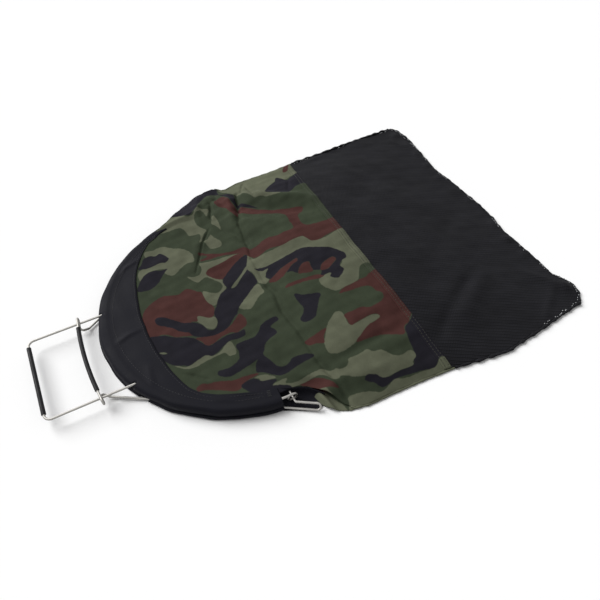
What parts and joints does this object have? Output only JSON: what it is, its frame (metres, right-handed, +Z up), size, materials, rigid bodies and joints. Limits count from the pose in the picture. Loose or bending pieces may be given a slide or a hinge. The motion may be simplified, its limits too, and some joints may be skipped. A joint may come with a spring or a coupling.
{
  "type": "diver's catch bag",
  "caption": "Soft catch bag lying flat: hinged wire jaws in black hems close the mouth, a long and a short handle meet in a wire catch, camouflage cloth leads to a mesh bottom.",
  "frame": {"origin": "midway between the two hinges, on the surface that the bag lies on", "axes": "+X from the mouth to the bottom seam, +Y to the far hinge, +Z up"},
  "size_m": [0.7039, 0.4704, 0.037],
  "materials": {
    "wire": "bright drawn stainless wire",
    "grip": "matte black sleeve",
    "hem": "black woven nylon",
    "camo": "printed woven cloth in woodland camouflage",
    "mesh": "fine black knitted mesh",
    "binding": "black edge binding",
    "thread": "dark sewing thread"
  },
  "bodies": {
    "bag": {"lower_jaw_wire": "wire", "lower_grip": "grip", "lower_hem_band": "hem", "lower_camo_panel": "camo", "upper_camo_panel": "camo", "lower_mesh_panel": "mesh", "upper_mesh_panel": "mesh", "far_side_binding": "binding", "near_side_binding": "binding", "bottom_binding": "binding", "lower_seam_facing": "camo", "upper_seam_facing": "camo", "lower_seam_thread": "thread", "upper_seam_thread": "thread", "lower_band_thread": "thread", "lower_bar_tacks": "thread"},
    "upper_jaw": {"upper_jaw_wire": "wire", "upper_grip": "grip", "upper_hem_band": "hem", "upper_camo_flap": "camo", "upper_band_thread": "thread", "upper_bar_tacks": "thread"}
  },
  "joints": [
    {"name": "jaw_open", "type": "hinge", "parent": "bag", "child": "upper_jaw", "pos_m": [0, 0, 0.0086], "axis": [0, 1, 0], "range_deg": [0, 90]}
  ]
}
